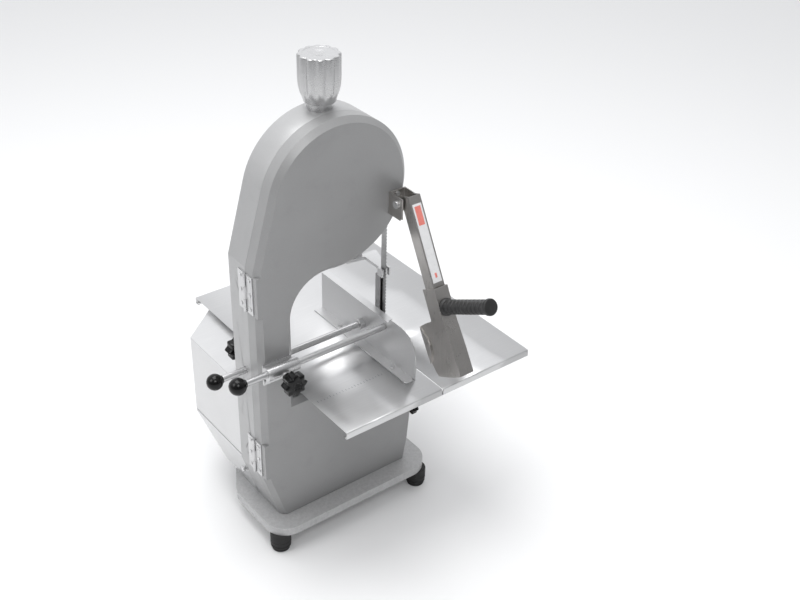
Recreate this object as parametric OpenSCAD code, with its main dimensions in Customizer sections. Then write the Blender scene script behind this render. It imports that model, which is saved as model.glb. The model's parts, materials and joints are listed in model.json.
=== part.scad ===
// Table-top bone saw: a C-shaped band saw casing on a base plate, with a worktable,
// an adjustable thickness fence and a hinged food pusher.
// X runs to the operator's right, Y away from the operator, Z up. The origin is on the
// bench under the middle of the machine.

/* [Worktable] */
// Width of the worktable
table_w = 400; // [360:5:440]
// Depth of the worktable
table_d = 500; // [460:5:520]
// Height of the worktable's top above the bench
table_z = 333; // [327:1:342]
// Depth of the folded lips at the front and rear edges
table_lip = 14.5; // [10:0.5:16]

/* [Wheels and blade] */
// Radius of the blade's inner face on both wheels
wheel_r = 104.7; // [102:0.1:106]
// Width of the wheel rims
wheel_w = 24; // [20:1:26]
// Developed length of the endless blade
blade_length = 1650; // [1640:1:1660]
// Width of the blade
blade_w = 16; // [13:0.5:18]
// Thickness of the blade
blade_t = 0.6; // [0.5:0.1:0.8]

/* [Casing] */
// Radius of the arch around the upper wheel
arch_r = 134; // [132:0.5:138]
// Width of the column
column_w = 66; // [63:0.5:68]
// Depth of the door
door_d = 32; // [30:1:34]
// Depth of the rear casing
casing_d = 53; // [50:1:56]
// Wall thickness of the castings
wall = 3; // [2.5:0.1:3.2]

/* [Fence and pusher] */
// Gap between the fence and the blade
slice_gap = 26; // [12:1:40]
// Height of the fence
fence_h = 79; // [70:1:85]
// Tilt of the pusher arm from the vertical
pusher_tilt = 28; // [20:1:30]
// Reach of the pusher from its pivot
pusher_reach = 304; // [290:1:304]

/* [Base] */
// Thickness of the base plate
base_t = 17.5; // [14:0.5:20]
// Height of the rubber feet
foot_h = 38; // [34:1:42]
// Radius of the rubber feet
foot_r = 19; // [17:1:20]

/* [Hidden] */
$fn = 64;

run = 0.05;       // radial clearance of a running fit
gap = 0.3;        // clearance between bodies that move past each other
cut = 1;          // how far a cutting solid runs past a face
sheet = 1.5;      // thickness of folded sheet

// Places of the main parts
table_x = -128;
table_y = -198;
base_top = foot_h + base_t;
wheel_x = -31.5;
upper_z = 672;
lower_z = upper_z - (blade_length - 2 * PI * wheel_r) / 2;
blade_x = wheel_x + wheel_r + run + blade_t / 2;
blade_y = -33;
column_x = -196;
column_in = column_x + column_w;
box_right = 131;
box_top = table_z - 19.5;
cover_top = table_z - 10;
seam_y = -16;
door_y = seam_y - door_d;
back_y = seam_y + casing_d;
undercut_z = 155;
undercut_w = 30;
shoulder_z = 583;
throat_r = 74;
throat_x = column_in + throat_r;
throat_z = upper_z - sqrt(pow(arch_r + throat_r, 2) - pow(throat_x - wheel_x, 2));
rim_y = blade_y - 2;

// Thickness fence and its two rods
fence_x = blade_x - slice_gap;
rod_r = 6;
rear_rod_y = 2;
rear_rod_z = 371;
front_rod_y = -64;
front_rod_z = 399.5;
ball_r = 15;
rear_ball_x = -255;
front_ball_x = -249;
clamp_x = -166;
clamp_screw_z = 375;
clamp_knob_z = front_rod_z - 7;
clamp_knob_r = 21.5;
rear_clamp_x = -174;

// Heights of the blade's way through the arch, of its guides and of the cable's entry
arch_slot_z = [562, 622];
guide_z = 472;
lower_guide_z = 284;
gland_z = 222;
button_z = [234, 268];

// Pusher
pivot_y = -72;
pivot_z = 640;
arm_x = 68;
arm_w = 24;
arm_back = 6;
arm_front = 29;
ear_x = 63;
pusher_sheet = 2;

// Door lock on the right side
lock_x = box_right - wall - 5.5;
lock_y = seam_y - 12;
lock_z = 152;

// Motor and belt drive
motor_x = 50;
motor_z = 237;
motor_r = 62;
motor_y = 84;
motor_len = 112;
mount_posts = [[0, 287], [100, 287], [100, 187], [62, 170]];
pulley_y = 48;
pulley_w = 16;
shaft_pulley_r = 42;
motor_pulley_r = 40;
shaft_r = 10;

// Feet, as centres on the base plate
feet = [[-180, -61], [128, -67], [-112, 158], [70, 158]];

// Hinges on the left side, screws of the clamp and of the pusher's bracket
hinge_z = [537, 196];
hinge_h = 72;
hinge_leaf = 21;
hinge_pin_x = column_x - 3.4;
knuckle_r = 3;
knuckle_z = 12;
hinge_screw_y = 13;
hinge_screw_z = [-27, 0, 27];
clamp_screw_x = [-187, -145];
bracket_screw_x = 80;
bracket_screw_z = [620, 646];
bracket_low = 612;
bracket_high = 653;

// A flat shape drawn in X and Z, made solid from y0 to y1
module slab(y0, y1) translate([0, y1, 0]) rotate([90, 0, 0]) linear_extrude(y1 - y0) children();

// A flat shape drawn in Y and Z, made solid from x0 to x1
module side_slab(x0, x1) translate([x0, 0, 0]) rotate([90, 0, 90]) linear_extrude(x1 - x0) children();

// Solid bars along the three axes
module bar_x(x0, x1, y, z, r) translate([x0, y, z]) rotate([0, 90, 0]) cylinder(r = r, h = x1 - x0);
module bar_y(y0, y1, x, z, r) translate([x, y0, z]) rotate([-90, 0, 0]) cylinder(r = r, h = y1 - y0);
module bar_z(z0, z1, x, y, r) translate([x, y, z0]) cylinder(r = r, h = z1 - z0);
module block(x0, x1, y0, y1, z0, z1) translate([x0, y0, z0]) cube([x1 - x0, y1 - y0, z1 - z0]);

// The C-shaped outline of the casing and door, drawn in X and Z and inset by d.
// The lower box runs from the height low to the height top.
module outline(d, low, top) {
    r = arch_r - d;
    left = column_x + d;
    slope = [left - wheel_x, shoulder_z - upper_z];
    touch = atan2(slope[1], slope[0]) - acos(r / norm(slope));
    translate([wheel_x, upper_z]) circle(r = r, $fn = 128);
    difference() {
        polygon([
            [left, undercut_z], [left, shoulder_z],
            [wheel_x + r * cos(touch), upper_z + r * sin(touch)],
            [wheel_x, upper_z], [throat_x, throat_z], [column_in - d, throat_z],
            [column_in - d, undercut_z]
        ]);
        translate([throat_x, throat_z]) circle(r = throat_r + d, $fn = 128);
    }
    polygon([
        [left, undercut_z], [left + undercut_w, low + d], [box_right - 13 - d, low + d],
        [box_right - 5 - d, base_top + 42], [box_right - d, undercut_z], [box_right - d, top - d],
        [column_in - d, top - d], [left, top - d]
    ]);
}

module base_outline() hull() {
    for (p = [[-154, -40], [108, -40]]) translate(p) circle(r = 45);
    for (p = [[-159, 50], [113, 50]]) translate(p) circle(r = 40);
    for (p = [[-100, 160], [55, 160]]) translate(p) circle(r = 35);
}

module base_plate() color([0.66, 0.66, 0.65]) difference() {
    translate([0, 0, foot_h]) linear_extrude(base_t) base_outline();
    for (p = feet) bar_z(foot_h - cut, base_top - 4, p[0], p[1], 4 + run);
}

// Ringed rubber feet on blind bolts from below
module rubber_feet() color([0.06, 0.06, 0.06]) for (p = feet) translate([p[0], p[1], 0]) difference() {
    union() {
        cylinder(r = foot_r - 2, h = 4);
        translate([0, 0, 4]) cylinder(r = foot_r - 3, h = 2);
        translate([0, 0, 6]) cylinder(r = foot_r - 0.5, h = 5);
        translate([0, 0, 11]) cylinder(r = foot_r - 2, h = 2);
        translate([0, 0, 13]) cylinder(r = foot_r, h = foot_h - 13);
    }
    translate([0, 0, foot_head_z]) cylinder(r = 7, h = 4);
    translate([0, 0, foot_head_z + 4]) cylinder(r = 4 + run, h = foot_h);
}

foot_head_z = 18;
module foot_bolts() color([0.7, 0.7, 0.72]) for (p = feet) {
    bar_z(foot_head_z, foot_head_z + 4, p[0], p[1], 7);
    bar_z(foot_head_z + 4, base_top - 4, p[0], p[1], 4);
}

// Fixing points that the screws share with the parts they hold
table_fixings = [[-70, 10, box_top], [113, 10, box_top], [-70, 150, cover_top], [113, 150, cover_top]];
guide_fixings = [622, 650];
guide_fixing_x = 52;

module main_casing() color([0.64, 0.64, 0.64]) difference() {
    union() {
        difference() {
            slab(seam_y, back_y) outline(0, base_top, box_top);
            slab(seam_y - cut, back_y - wall) outline(wall, base_top, box_top);
        }
        // Boss that backs the wheel shaft's bearing housing
        bar_y(back_y - wall - 6, back_y, wheel_x, lower_z, 46);
        // Catch that reaches into the door, open in front for the lock's stud
        difference() {
            block(lock_x, lock_x + 3, seam_y - 20, seam_y + 12, lock_z - 10, lock_z + 10);
            bar_x(lock_x - cut, lock_x + 4, lock_y, lock_z, 4.6);
            block(lock_x - cut, lock_x + 4, seam_y - 21, lock_y, lock_z - 4.6, lock_z + 4.6);
        }
        block(lock_x, box_right - wall + cut, seam_y + 3, seam_y + 12, lock_z - 10, lock_z + 10);
    }
    bar_y(seam_y, back_y + cut, wheel_x, lower_z, 32 + run);
    bar_x(column_x - cut, column_in + cut, rear_rod_y, rear_rod_z, rod_r + run);
    bar_y(0, back_y + cut, rear_clamp_x, rear_rod_z, 4 + run);
    bar_z(upper_z, 900, wheel_x, 10, 13 + run);
    // Ways for the blade through the arch and the top of the lower box
    block(blade_x - 2, blade_x + 2, seam_y - cut, blade_y + blade_w + 3, arch_slot_z[0], arch_slot_z[1]);
    block(blade_x - 2, blade_x + 2, seam_y - cut, blade_y + blade_w + 3, box_top - wall - cut, box_top + cut);
    for (z = guide_fixings) bar_y(0, back_y + cut, guide_fixing_x, z, 3 + run);
    for (z = hinge_z, s = hinge_screw_z)
        bar_x(column_x - cut, column_x + wall + cut, seam_y + hinge_screw_y, z + s, 2);
    for (p = table_fixings) bar_z(box_top - 12, box_top + cut, p[0], p[1], 3);
}

// Stainless cover over the motor, with its rear corners cut off
cover_back = 263;
cover_side = 203;     // where the slanting rear corners begin
gland_x = -60;
module cover_outline(d) polygon([
    [column_x + 1 + d, back_y], [column_x + 1 + d, cover_side - d / 2], [-122 + d / 2, cover_back - d],
    [70 - d / 2, cover_back - d], [box_right - 1 - d, cover_side - d / 2], [box_right - 1 - d, back_y]
]);

module motor_cover() color([0.70, 0.70, 0.71]) difference() {
    translate([0, 0, undercut_z + 4]) linear_extrude(cover_top - 4 - undercut_z) cover_outline(0);
    translate([0, 0, undercut_z]) linear_extrude(cover_top - sheet - undercut_z) cover_outline(sheet);
    block(-150, 120, back_y - cut, back_y + sheet, undercut_z, box_top - sheet);
    bar_y(240, 290, gland_x, gland_z, 10 + run);
    for (p = table_fixings) bar_z(cover_top - 4, cover_top + cut, p[0], p[1], 3);
}

// Tapered skirt between the motor cover and the base plate, closed under the cover's edge.
// Its outline shrinks by d inwards.
module skirt_top(d) polygon([
    [column_x + d, back_y], [column_x + d, cover_side - 2 - d / 2], [-124 + d / 2, cover_back - 1 - d],
    [72 - d / 2, cover_back - 1 - d], [box_right - d, cover_side - 2 - d / 2], [box_right - d, back_y]
]);
module skirt_foot(d) polygon([
    [column_x + undercut_w + d, back_y], [column_x + undercut_w + d, 150 - d / 2], [-112 + d / 2, 178 - d],
    [66 - d / 2, 178 - d], [box_right - 13 - d, 150 - d / 2], [box_right - 13 - d, back_y]
]);
module skirt_solid(d, low, high) hull() {
    translate([0, 0, high - 1]) linear_extrude(1) skirt_top(d);
    translate([0, 0, low]) linear_extrude(1) skirt_foot(d);
}
module lower_skirt() color([0.62, 0.62, 0.62]) {
    difference() {
        skirt_solid(0, base_top, undercut_z + 2);
        skirt_solid(2, base_top - cut, undercut_z + 2 + cut);
        block(-170, 110, back_y - cut, back_y + 3, base_top - cut, undercut_z + 3);
    }
    translate([0, 0, undercut_z + 2]) linear_extrude(2) difference() {
        skirt_top(0);
        cover_outline(sheet + 2);
        translate([-170, back_y - cut]) square([280, 8]);
    }
}

module worktable() color([0.80, 0.81, 0.82]) difference() {
    translate([table_x, table_y, 0]) union() {
        block(0, table_w, 0, table_d, table_z - sheet, table_z);
        for (y = [0, table_d - sheet]) block(0, table_w, y, y + sheet, table_z - table_lip, table_z - sheet);
        for (y = [sheet, table_d - 9]) block(0, table_w, y, y + 7.5, table_z - table_lip, table_z - table_lip + sheet);
    }
    // Slot from the blade out through the front lip
    block(blade_x - 1.5, blade_x + 1.5, table_y - cut, blade_y + blade_w + 2, table_z - table_lip - cut, table_z + cut);
}

// Channels between the casing's top and the table, lower behind the casing
module table_rails() color([0.55, 0.55, 0.56]) for (x = [-70, 113]) difference() {
    union() {
        block(x - 12, x + 12, -150, back_y, box_top, table_z - sheet);
        block(x - 12, x + 12, back_y, 245, cover_top, table_z - sheet);
    }
    block(x - 10, x + 10, -151, back_y, box_top + 2, table_z - sheet - 2);
    block(x - 10, x + 10, back_y - cut, 246, cover_top + 2, table_z - sheet - 2);
    for (p = table_fixings) bar_z(box_top - cut, p[2] + 3, p[0], p[1], 3);
}

module frame_screws() color([0.75, 0.75, 0.76]) {
    for (p = table_fixings) {
        bar_z(p[2] - 5, p[2] + 2, p[0], p[1], 3);
        bar_z(p[2] + 2, p[2] + 5, p[0], p[1], 5);
    }
    for (z = guide_fixings) {
        bar_y(back_y - 6, back_y + 4, guide_fixing_x, z, 3);
        bar_y(back_y + 4, back_y + 8, guide_fixing_x, z, 5);
    }
    for (z = hinge_z, s = hinge_screw_z) hinge_screw(seam_y + hinge_screw_y, z + s);
}

// Screw through a hinge leaf into a side wall, with a domed head's height of 1.2
module hinge_screw(y, z) {
    bar_x(column_x - 2, column_x + wall, y, z, 2);
    bar_x(column_x - 3.2, column_x - 2, y, z, 3.6);
}

module guide_arm() color([0.78, 0.78, 0.79]) difference() {
    union() {
        block(38, 72, back_y, back_y + 4, guide_z + 10, guide_z + 192);
        translate([0, 0, guide_z + 8]) linear_extrude(6) polygon([
            [blade_x - 0.5, -13], [blade_x + 13.5, -13], [blade_x + 30, back_y], [blade_x + 30, back_y + 4],
            [38, back_y + 4], [38, back_y], [blade_x - 0.5, back_y - 6]
        ]);
    }
    for (z = guide_fixings) bar_y(back_y - cut, back_y + 5, guide_fixing_x, z, 3 + run);
}

module guide_block() color([0.82, 0.82, 0.82]) difference() {
    block(blade_x - 5.5, blade_x + 13.5, -27, -13, guide_z, guide_z + 16);
    block(blade_x - 0.5, blade_x + 0.5, -28, -16, guide_z - cut, guide_z + 17);
    block(blade_x + 6, blade_x + 10, -28, -18, guide_z - cut, guide_z + 17);
}

module blade_guard() color([0.45, 0.45, 0.46]) difference() {
    block(blade_x - 4, blade_x + 4, -20, -6, table_z + 1, guide_z);
    block(blade_x - 2.5, blade_x + 2.5, -21, -7.5, table_z, guide_z + cut);
}

// The endless blade as two half turns and two straight runs
module saw_blade() color([0.55, 0.56, 0.57]) slab(blade_y, blade_y + blade_w) difference() {
    hull_band(wheel_r + run + blade_t);
    hull_band(wheel_r + run);
}
module hull_band(r) {
    for (z = [lower_z, upper_z]) translate([wheel_x, z]) circle(r = r, $fn = 128);
    translate([wheel_x - r, lower_z]) square([2 * r, upper_z - lower_z]);
}

module lower_guide() color([0.72, 0.60, 0.32]) difference() {
    block(blade_x - 12, blade_x + 12, -30, back_y - wall, lower_guide_z, lower_guide_z + 18);
    block(blade_x - 1, blade_x + 1, -34, -14, lower_guide_z - cut, lower_guide_z + 19);
    block(blade_x - 13, blade_x + 13, 6, back_y, lower_guide_z + 8, lower_guide_z + 19);
}

module scrapers() color([0.9, 0.9, 0.88]) {
    block(blade_x + 1.2, blade_x + 14, -32, back_y - wall, 228, 236);
    block(blade_x - 14, blade_x - 1.2, -32, back_y - wall, 244, 252);
    translate([wheel_x, 0, lower_z]) rotate([0, 40, 0])
        block(-wheel_r - 12, -wheel_r - 2.5, rim_y + 1, back_y - wall, -4, 4);
}

// Tray on two runners that stand on the casing's floor
tray_x = [80, 112];
tray_z = base_top + wall + 1.4;
tray_top = 150;
module scrap_tray() color([0.80, 0.80, 0.81]) {
    difference() {
        block(tray_x[0], tray_x[1], -43, 32, tray_z, tray_top);
        block(tray_x[0] + sheet, tray_x[1] - sheet, -43 + sheet, 32 - sheet, tray_z + sheet, tray_top + cut);
    }
    for (x = [84, 104]) block(x, x + 4, seam_y + 2, 32, base_top + wall, tray_z);
}

// Butt hinges on the left side faces. The frame's leaf carries the two outer knuckles and
// the pin, and the door's leaf the middle knuckle; side is 1 for the frame and -1 for the door.
module hinge_part(z, side, from, to) {
    near = seam_y + side * (knuckle_r + 0.4);
    far = seam_y + side * hinge_leaf;
    root = seam_y + side;
    block(column_x - 2, column_x, min(near, far), max(near, far), z - hinge_h / 2, z + hinge_h / 2);
    block(hinge_pin_x, column_x, min(root, near), max(root, near), z + from, z + to);
    bar_z(z + from, z + to, hinge_pin_x, seam_y, knuckle_r);
}
module hinge_holes(z, side) for (s = hinge_screw_z)
    bar_x(column_x - 5, column_x + cut, seam_y + side * hinge_screw_y, z + s, 2);

module frame_hinge_leaves() color([0.72, 0.72, 0.73]) for (z = hinge_z) difference() {
    union() {
        hinge_part(z, 1, -hinge_h / 2, -knuckle_z);
        hinge_part(z, 1, knuckle_z, hinge_h / 2);
        bar_z(z - hinge_h / 2, z + hinge_h / 2, hinge_pin_x, seam_y, 1.4);
    }
    hinge_holes(z, 1);
}

module slide_rails() color([0.6, 0.6, 0.61]) for (m = [-1, 1]) translate([wheel_x, 0, 0]) mirror([m < 0 ? 1 : 0, 0, 0]) {
    block(34.1, 44, 18, back_y - wall, upper_z - 62, upper_z + 62);
    block(28.3, 34.1, 18, 24.9, upper_z - 62, upper_z + 62);
}

module tension_bush() color([0.72, 0.72, 0.72]) difference() {
    union() {
        bar_z(upper_z + arch_r - 8, upper_z + arch_r + 1, wheel_x, 10, 13);
        difference() {
            bar_z(upper_z + arch_r - 3, upper_z + arch_r + 11, wheel_x, 10, 20);
            bar_y(seam_y, back_y, wheel_x, upper_z, arch_r);
        }
    }
    bar_z(upper_z + arch_r - 9, upper_z + arch_r + 12, wheel_x, 10, rod_r + run);
}

module bearing_housing() color([0.62, 0.62, 0.6]) difference() {
    union() {
        bar_y(-4, 44, wheel_x, lower_z, 32);
        bar_y(back_y, back_y + 6, wheel_x, lower_z, 46);
    }
    bar_y(-5, 45, wheel_x, lower_z, 24);
}

module shaft_bearings() color([0.8, 0.8, 0.82]) for (y = [-2, 30]) difference() {
    bar_y(y, y + 12, wheel_x, lower_z, 24);
    bar_y(y - cut, y + 13, wheel_x, lower_z, shaft_r + run);
}

module motor() color([0.30, 0.34, 0.38]) difference() {
    union() {
        bar_y(motor_y, motor_y + 12, motor_x, motor_z, motor_r);
        bar_y(motor_y + 12, motor_y + motor_len - 18, motor_x, motor_z, motor_r - 5);
        bar_y(motor_y + motor_len - 18, motor_y + motor_len, motor_x, motor_z, motor_r - 2);
        for (a = [0:15:345]) translate([motor_x, 0, motor_z]) rotate([0, a, 0])
            block(-1.2, 1.2, motor_y + 12, motor_y + motor_len - 20, motor_r - 6, motor_r);
    }
    bar_y(motor_y - cut, motor_y + 60, motor_x, motor_z, 9 + run);
}

module motor_mount() color([0.5, 0.5, 0.5]) difference() {
    union() {
        block(motor_x - 58, motor_x + 58, motor_y - 6, motor_y, 162, motor_z + 58);
        for (p = mount_posts) bar_y(back_y, motor_y - 6, p[0], p[1], 6);
    }
    bar_y(motor_y - 7, motor_y + cut, motor_x, motor_z, 30);
}

// Belt outline: a band around both pulleys
module belt_outline(d) hull() {
    translate([wheel_x, lower_z]) circle(r = shaft_pulley_r + d);
    translate([motor_x, motor_z]) circle(r = motor_pulley_r + d);
}
module drive_belt() color([0.08, 0.08, 0.08]) slab(pulley_y + 3, pulley_y + pulley_w - 3) difference() {
    belt_outline(5);
    belt_outline(0.3);
}

module rear_rod_bush() color([0.75, 0.75, 0.76]) difference() {
    bar_x(column_x + wall, column_in - wall, rear_rod_y, rear_rod_z, 11);
    bar_x(column_x, column_in, rear_rod_y, rear_rod_z, rod_r + run);
    bar_y(rear_rod_y, 30, rear_clamp_x, rear_rod_z, 4 + run);
}

module switch_box() color([0.82, 0.82, 0.80]) difference() {
    block(box_right, box_right + 34, -14, 34, 212, 290);
    for (z = button_z) bar_x(box_right + 20, box_right + 35, 10, z, 11 + gap);
}
module start_button() color([0.10, 0.55, 0.20]) bar_x(box_right + 24.5, box_right + 39, 10, button_z[1], 11);
module stop_button() color([0.75, 0.08, 0.06]) bar_x(box_right + 24.5, box_right + 41, 10, button_z[0], 11);

module cable_gland() color([0.08, 0.08, 0.08]) difference() {
    union() {
        bar_y(cover_back - 8, cover_back, gland_x, gland_z, 10);
        bar_y(cover_back, cover_back + 12, gland_x, gland_z, 13);
    }
    bar_y(cover_back - 9, cover_back + 13, gland_x, gland_z, 4.5);
}

module door_cover() color([0.60, 0.60, 0.60]) difference() {
    slab(door_y, seam_y - gap) outline(0, base_top + 0.5, box_top - 8);
    slab(door_y + wall, seam_y + cut) outline(wall, base_top + 0.5, box_top - 8);
    // Open slots that clear the blade when the door swings
    block(blade_x - 4, blade_x + 4, blade_y - 4, seam_y + cut, arch_slot_z[0], arch_slot_z[1]);
    block(blade_x - 4, blade_x + 4, blade_y - 4, seam_y + cut, box_top - 14, box_top);
    bar_x(box_right - wall - cut, box_right + cut, lock_y, lock_z, 4 + run);
    for (z = hinge_z, s = hinge_screw_z)
        bar_x(column_x - cut, column_x + wall + cut, seam_y - hinge_screw_y, z + s, 2);
    for (x = clamp_screw_x) bar_y(door_y - cut, door_y + wall + cut, x, clamp_screw_z, 2.5);
    for (z = bracket_screw_z) bar_y(door_y - cut, door_y + wall + cut, bracket_screw_x, z, 2.5);
}

module door_hinge_leaves() color([0.72, 0.72, 0.73]) for (z = hinge_z) difference() {
    hinge_part(z, -1, gap - knuckle_z, knuckle_z - gap);
    bar_z(z - knuckle_z, z + knuckle_z, hinge_pin_x, seam_y, 1.4 + run);
    hinge_holes(z, -1);
}

module door_screws() color([0.75, 0.75, 0.76]) {
    for (z = hinge_z, s = hinge_screw_z) hinge_screw(seam_y - hinge_screw_y, z + s);
    for (x = clamp_screw_x) {
        bar_y(door_y - 3, door_y + wall, x, clamp_screw_z, 2.5);
        bar_y(door_y - 6, door_y - 3, x, clamp_screw_z, 4);
    }
    for (z = bracket_screw_z) {
        bar_y(door_y - 2.5, door_y + wall, bracket_screw_x, z, 2.5);
        bar_y(door_y - 5, door_y - 2.5, bracket_screw_x, z, 4);
    }
}

module rod_clamp() color([0.82, 0.82, 0.83]) difference() {
    union() {
        bar_x(column_x + 1, column_in - 5, front_rod_y, front_rod_z, 12);
        block(-192, -140, front_rod_y, door_y, front_rod_z - 7, front_rod_z + 7);
        block(-193, -139, door_y - 3, door_y, clamp_screw_z - 7, front_rod_z + 9);
        bar_y(front_rod_y - 16, front_rod_y, clamp_x, clamp_knob_z, 7);
    }
    bar_x(column_x, column_in, front_rod_y, front_rod_z, rod_r + run);
    bar_y(front_rod_y - 17, front_rod_y - 4, clamp_x, clamp_knob_z, 4 + run);
    for (x = clamp_screw_x) bar_y(door_y - 4, door_y + cut, x, clamp_screw_z, 2.5);
}

module pusher_bracket() color([0.36, 0.36, 0.37]) difference() {
    union() {
        block(ear_x, arm_x + arm_w + 5, door_y - 2.5, door_y, bracket_low, bracket_high);
        for (x = [ear_x, arm_x + arm_w + 2.5]) block(x, x + 2.5, -85, door_y - 2.5, bracket_low, bracket_high);
    }
    bar_x(ear_x - cut, arm_x + arm_w + 6, pivot_y, pivot_z, 4 + run);
    for (z = bracket_screw_z) bar_y(door_y - 3, door_y + cut, bracket_screw_x, z, 2.5);
    // Clears the rounded edge of the arch behind the bracket's lower corner
    block(ear_x - cut, arm_x + arm_w + 6, -86, -80, bracket_low - cut, bracket_low + 4);
}

// Lobed grip: a disc with round lobes, from y = 0 towards -Y
module star(r, h, lobes) {
    bar_y(-h, 0, 0, 0, r * 0.78);
    for (a = [0:360 / lobes:359]) bar_y(-h, 0, r * 0.78 * cos(a), r * 0.78 * sin(a), r * 0.22);
}

module front_clamp_knob() color([0.05, 0.05, 0.05]) translate([clamp_x, 0, clamp_knob_z]) {
    translate([0, front_rod_y - 29, 0]) star(clamp_knob_r, 20, 8);
    bar_y(front_rod_y - 29, front_rod_y - 16.3, 0, 0, 9);
    bar_y(front_rod_y - 17, front_rod_y - 8, 0, 0, 4);
}

module rear_clamp_knob() color([0.05, 0.05, 0.05]) translate([rear_clamp_x, 0, rear_rod_z]) {
    translate([0, 75, 0]) star(22, 20, 8);
    bar_y(back_y + gap, 55, 0, 0, 8);
    bar_y(rear_rod_y + 8, back_y + 1, 0, 0, 4);
}

module door_lock_knob() color([0.05, 0.05, 0.05]) translate([box_right, lock_y, lock_z]) {
    rotate([0, 0, 90]) translate([0, -8, 0]) star(14, 14, 6);
    bar_x(gap, 9, 0, 0, 6);
    bar_x(lock_x - box_right, 1, 0, 0, 4);
}

// Fluted grip outline of the tension knob
knob_r = 34.5;
knob_h = 78;
module knob_outline() {
    circle(r = knob_r - 2.5);
    for (a = [0:30:330]) rotate(a) translate([knob_r - 5, 0]) circle(r = 5);
}
module tension_knob() color([0.80, 0.80, 0.81]) translate([wheel_x, 10, upper_z + arch_r + 11 + gap]) {
    difference() {
        cylinder(r = knob_r - 8, h = 10);
        translate([0, 0, -cut]) cylinder(r = rod_r, h = 12);
    }
    translate([0, 0, 10]) linear_extrude(20) difference() {
        knob_outline();
        circle(r = rod_r);
    }
    translate([0, 0, 30]) linear_extrude(knob_h - 30) knob_outline();
}

module tension_screw() color([0.75, 0.75, 0.76])
    bar_z(upper_z + 5, upper_z + arch_r + 11 + gap + 30, wheel_x, 10, rod_r);

module tension_carriage() color([0.55, 0.55, 0.56]) difference() {
    union() {
        block(wheel_x - 28, wheel_x + 28, -4, 25, upper_z - 36, upper_z + 36);
        block(wheel_x - 33.8, wheel_x + 33.8, 25.2, 31, upper_z - 36, upper_z + 36);
        block(wheel_x - 28, wheel_x + 28, 25, 25.2, upper_z - 36, upper_z + 36);
    }
    bar_z(upper_z - 6, upper_z + 37, wheel_x, 10, rod_r + run);
    bar_y(-5, 2, wheel_x, upper_z, 8.5);
}

module upper_axle() color([0.7, 0.7, 0.72]) {
    bar_y(-38, 2, wheel_x, upper_z, 8.5);
    bar_y(-7, -4, wheel_x, upper_z, 13);
}

module wheel(z, bore) translate([wheel_x, 0, z]) difference() {
    union() {
        difference() {
            bar_y(rim_y, rim_y + wheel_w, 0, 0, wheel_r);
            bar_y(rim_y - cut, rim_y + wheel_w + cut, 0, 0, wheel_r - 9);
        }
        bar_y(rim_y, rim_y + wheel_w, 0, 0, 29);
        difference() {
            bar_y(rim_y + 9, rim_y + 15, 0, 0, wheel_r - 8);
            for (a = [0:60:300]) bar_y(rim_y, rim_y + wheel_w, 62 * cos(a), 62 * sin(a), 22);
        }
    }
    bar_y(rim_y - cut, rim_y + wheel_w + cut, 0, 0, bore);
}

module upper_wheel() color([0.68, 0.68, 0.67]) wheel(upper_z, 20);
module lower_wheel() color([0.68, 0.68, 0.67]) wheel(lower_z, shaft_r);

module upper_bearings() color([0.8, 0.8, 0.82]) for (y = [rim_y + 0.5, rim_y + 11.5]) difference() {
    bar_y(y, y + 11, wheel_x, upper_z, 20);
    bar_y(y - cut, y + 12, wheel_x, upper_z, 8.5 + run);
}

module drive_shaft() color([0.7, 0.7, 0.72]) {
    bar_y(rim_y, pulley_y + pulley_w, wheel_x, lower_z, shaft_r);
    bar_y(rim_y - 5, rim_y, wheel_x, lower_z, 15);
}

module pulley(x, z, r, bore) difference() {
    union() {
        bar_y(pulley_y, pulley_y + 2.5, x, z, r + 6);
        bar_y(pulley_y + 2.5, pulley_y + pulley_w - 2.5, x, z, r);
        bar_y(pulley_y + pulley_w - 2.5, pulley_y + pulley_w, x, z, r + 6);
    }
    bar_y(pulley_y - cut, pulley_y + pulley_w + cut, x, z, bore);
}
module shaft_pulley() color([0.5, 0.5, 0.5]) pulley(wheel_x, lower_z, shaft_pulley_r, shaft_r);
module motor_pulley() color([0.5, 0.5, 0.5]) pulley(motor_x, motor_z, motor_pulley_r, 9);
module motor_shaft() color([0.7, 0.7, 0.72]) bar_y(pulley_y - 2, motor_y + 58, motor_x, motor_z, 9);

// Fence: a sheet with a foot folded left, a top folded right and a rounded front corner
fence_front = -152;
fence_rear = 131;
fence_corner = 43;
fence_screw_y = [-100, 60];
module fence_plate() color([0.80, 0.81, 0.82]) difference() {
    union() {
        side_slab(fence_x, fence_x + sheet) {
            polygon([
                [fence_front, table_z + gap], [fence_rear, table_z + gap], [fence_rear, table_z + fence_h],
                [-73, table_z + fence_h], [-79, table_z + fence_h + 10],
                [fence_front + fence_corner, table_z + fence_h + 10],
                [fence_front + fence_corner, table_z + fence_h + 10 - fence_corner],
                [fence_front, table_z + fence_h + 10 - fence_corner]
            ]);
            translate([fence_front + fence_corner, table_z + fence_h + 10 - fence_corner]) circle(r = fence_corner);
        }
        block(fence_x + sheet, fence_x + 14, -68, fence_rear, table_z + fence_h - sheet, table_z + fence_h);
        block(fence_x - 18, fence_x, fence_front + 9, fence_rear, table_z + gap, table_z + gap + 2.5);
        translate([fence_x - 9, fence_front + 9, table_z + gap]) cylinder(r = 9, h = 2.5);
    }
    bar_x(fence_x - cut, fence_x + 5, rear_rod_y, rear_rod_z, rod_r);
    for (y = fence_screw_y) bar_z(table_z, table_z + 4, fence_x - 9, y, 2.5);
}

module fence_screws() color([0.78, 0.78, 0.79]) for (y = fence_screw_y) {
    bar_z(table_z + gap, table_z + gap + 2.5, fence_x - 9, y, 2.5);
    bar_z(table_z + gap + 2.5, table_z + gap + 6, fence_x - 9, y, 4.5);
}

module rear_rod() color([0.72, 0.72, 0.73]) bar_x(rear_ball_x, fence_x + 14, rear_rod_y, rear_rod_z, rod_r);

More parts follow.
